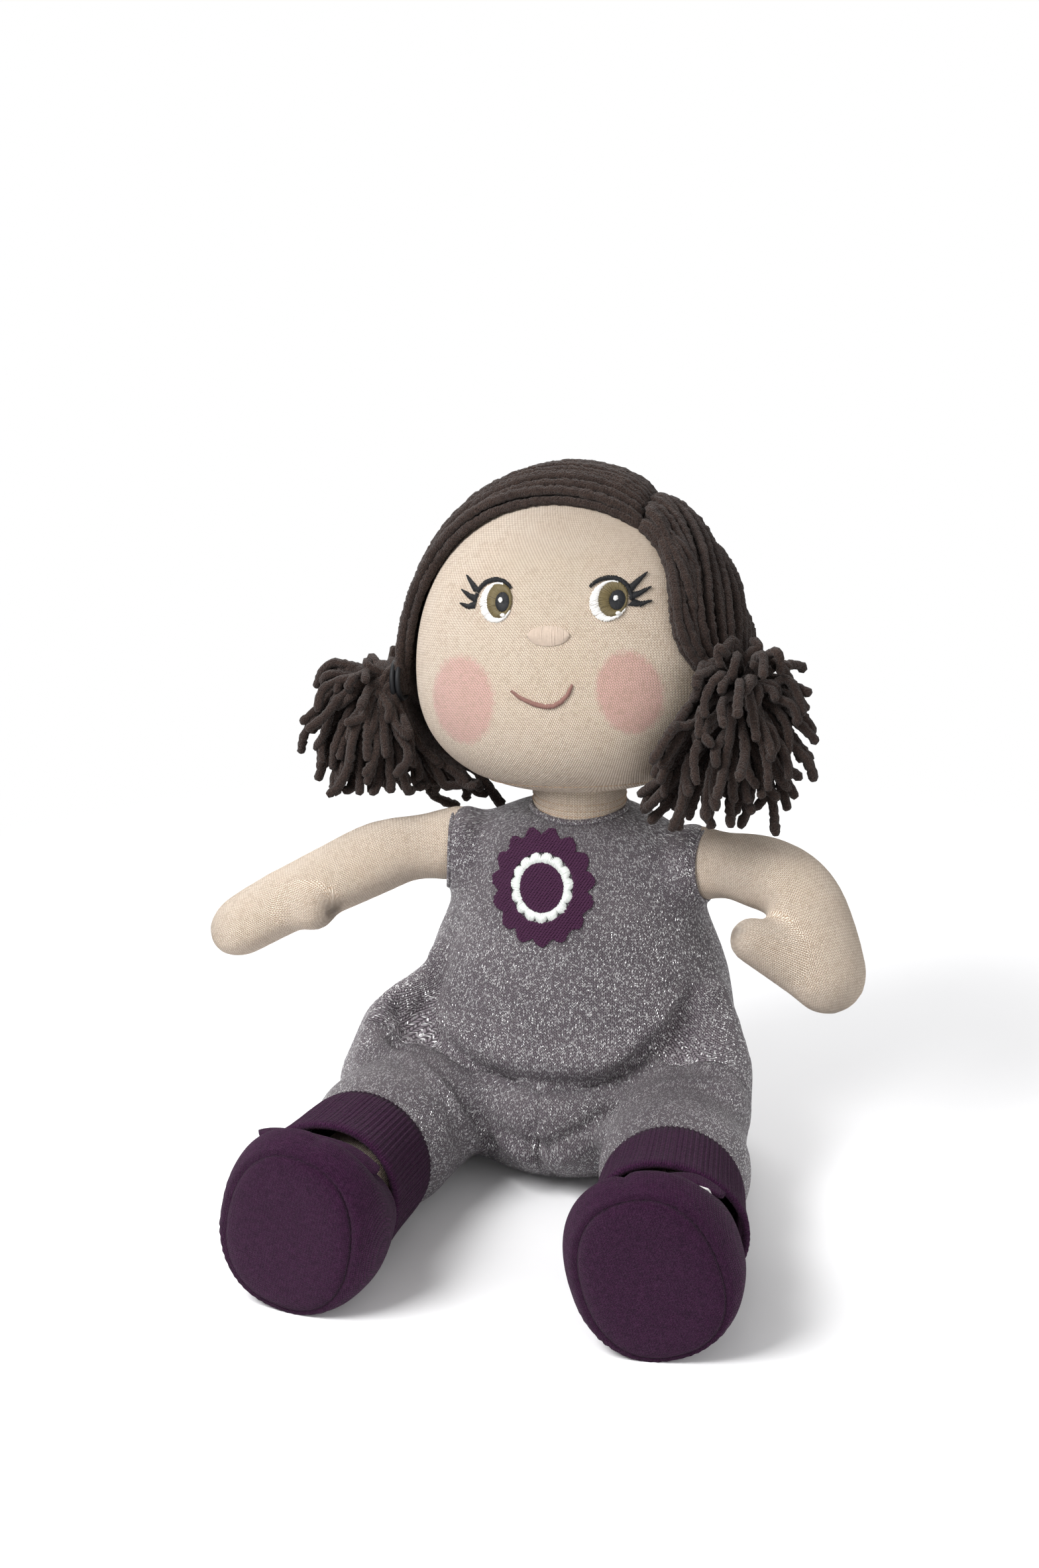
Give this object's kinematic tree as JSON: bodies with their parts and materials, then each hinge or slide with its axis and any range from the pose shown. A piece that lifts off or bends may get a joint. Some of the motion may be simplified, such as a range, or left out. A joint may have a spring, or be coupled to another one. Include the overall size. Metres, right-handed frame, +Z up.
{
  "type": "knitted doll",
  "caption": "Seated soft doll of stuffed knit with yarn hair, embroidered face, knitted romper and slip-on strap shoes; head, arms and legs move.",
  "frame": {"origin": "middle of the flat patch of the seat, on the ground", "axes": "+Z up along the doll's height, -Y the way the doll faces, +X to the doll's left"},
  "size_m": [0.2529, 0.2299, 0.2653],
  "materials": {
    "skin_knit": "matte fine stockinette knit, light beige",
    "stuffing": "loose white polyester fibre",
    "lurex_knit": "matte mauve-grey stockinette knit with a metallic silver thread",
    "ribbed_cuff": "matte ribbed knit, dark plum",
    "shoe_knit": "brushed, felted knit, plum",
    "yarn_hair": "dark brown chenille yarn",
    "tie_band": "dark brown elastic thread",
    "hook_and_loop": "white woven loop tape",
    "flower_felt": "brushed plum fabric, sewn on",
    "silver_felt": "silvery white fabric with a light sheen",
    "white_thread": "white satin-stitch embroidery",
    "olive_thread": "olive brown satin-stitch embroidery",
    "black_thread": "black satin-stitch embroidery",
    "nose_thread": "pale pink satin-stitch embroidery",
    "mouth_thread": "dusty rose satin-stitch embroidery"
  },
  "bodies": {
    "torso": {"torso_skin": "skin_knit", "torso_filling": "stuffing", "romper_bodice": "lurex_knit", "flower_petals": "flower_felt", "flower_ring": "silver_felt", "flower_centre": "flower_felt"},
    "neck": {"neck": "skin_knit"},
    "head": {"head_skin": "skin_knit", "head_filling": "stuffing", "hair_right": "yarn_hair", "hair_left": "yarn_hair", "eye_right_white": "white_thread", "eye_right_iris": "olive_thread", "eye_right_pupil": "black_thread", "eye_right_glint": "white_thread", "eye_right_lid_and_lashes": "black_thread", "eye_left_white": "white_thread", "eye_left_iris": "olive_thread", "eye_left_pupil": "black_thread", "eye_left_glint": "white_thread", "eye_left_lid_and_lashes": "black_thread", "nose": "nose_thread", "mouth": "mouth_thread"},
    "bunch_right": {"hair_tie_right": "tie_band", "pigtail_right": "yarn_hair"},
    "bunch_left": {"hair_tie_left": "tie_band", "pigtail_left": "yarn_hair"},
    "shoulder_right": {"arm_right_gathering": "skin_knit"},
    "arm_right": {"arm_right_skin": "skin_knit", "arm_right_filling": "stuffing"},
    "shoulder_left": {"arm_left_gathering": "skin_knit"},
    "arm_left": {"arm_left_skin": "skin_knit", "arm_left_filling": "stuffing"},
    "leg_right": {"leg_right_skin": "skin_knit", "leg_right_filling": "stuffing", "romper_leg_right": "lurex_knit", "cuff_right": "ribbed_cuff"},
    "shoe_right": {"shoe_right_upper": "shoe_knit", "shoe_right_sole": "shoe_knit", "strap_patch_right": "hook_and_loop"},
    "strap_right": {"strap_right": "shoe_knit"},
    "leg_left": {"leg_left_skin": "skin_knit", "leg_left_filling": "stuffing", "romper_leg_left": "lurex_knit", "cuff_left": "ribbed_cuff"},
    "shoe_left": {"shoe_left_upper": "shoe_knit", "shoe_left_sole": "shoe_knit", "strap_patch_left": "hook_and_loop"},
    "strap_left": {"strap_left": "shoe_knit"}
  },
  "joints": [
    {"name": "neck_turn", "type": "hinge", "parent": "torso", "child": "neck", "pos_m": [0, 0, 0.141], "axis": [0, 0, 1], "range_deg": [-40, 40], "stiffness_Nm_per_rad": 0.2},
    {"name": "head_nod", "type": "hinge", "parent": "neck", "child": "head", "pos_m": [0, 0, 0.141], "axis": [1, 0, 0], "range_deg": [-14, 18], "stiffness_Nm_per_rad": 0.8},
    {"name": "bunch_right_swing", "type": "hinge", "parent": "head", "child": "bunch_right", "pos_m": [-0.06991, -0.00048, 0.18067], "axis": [0, 0.9903, -0.1392], "range_deg": [0, 35], "stiffness_Nm_per_rad": 0.01},
    {"name": "bunch_left_swing", "type": "hinge", "parent": "head", "child": "bunch_left", "pos_m": [0.05749, -0.01353, 0.18846], "axis": [0, -0.9903, 0.1392], "range_deg": [0, 10], "stiffness_Nm_per_rad": 0.01},
    {"name": "arm_right_swing", "type": "hinge", "parent": "torso", "child": "shoulder_right", "pos_m": [-0.047, -0.003, 0.118], "axis": [0, 0, 1], "range_deg": [-30, 40], "stiffness_Nm_per_rad": 0.1},
    {"name": "arm_right_lift", "type": "hinge", "parent": "shoulder_right", "child": "arm_right", "pos_m": [-0.047, -0.003, 0.118], "axis": [0, 1, 0], "range_deg": [-13, 8], "stiffness_Nm_per_rad": 0.2},
    {"name": "arm_left_swing", "type": "hinge", "parent": "torso", "child": "shoulder_left", "pos_m": [0.047, -0.003, 0.118], "axis": [0, 0, -1], "range_deg": [-30, 40], "stiffness_Nm_per_rad": 0.1},
    {"name": "arm_left_lift", "type": "hinge", "parent": "shoulder_left", "child": "arm_left", "pos_m": [0.047, -0.003, 0.118], "axis": [0, -1, 0], "range_deg": [-20, 26], "stiffness_Nm_per_rad": 0.2},
    {"name": "hip_right", "type": "hinge", "parent": "torso", "child": "leg_right", "pos_m": [-0.046, -0.022, 0.025], "axis": [0.9903, -0.1392, 0], "range_deg": [-10, 90]},
    {"name": "shoe_right_slide", "type": "slide", "parent": "leg_right", "child": "shoe_right", "axis": [-0.1392, -0.9903, 0], "range_m": [0, 0.06]},
    {"name": "strap_right_open", "type": "hinge", "parent": "shoe_right", "child": "strap_right", "pos_m": [-0.03993, -0.13419, 0.04395], "axis": [0.1392, 0.9903, 0], "range_deg": [0, 100]},
    {"name": "hip_left", "type": "hinge", "parent": "torso", "child": "leg_left", "pos_m": [0.046, -0.022, 0.025], "axis": [0.9936, 0.1132, 0], "range_deg": [-10, 90]},
    {"name": "shoe_left_slide", "type": "slide", "parent": "leg_left", "child": "shoe_left", "axis": [0.1132, -0.9936, 0], "range_m": [0, 0.06]},
    {"name": "strap_left_open", "type": "hinge", "parent": "shoe_left", "child": "strap_left", "pos_m": [0.03515, -0.1342, 0.04159], "axis": [0.1132, -0.9936, 0], "range_deg": [0, 100]}
  ]
}
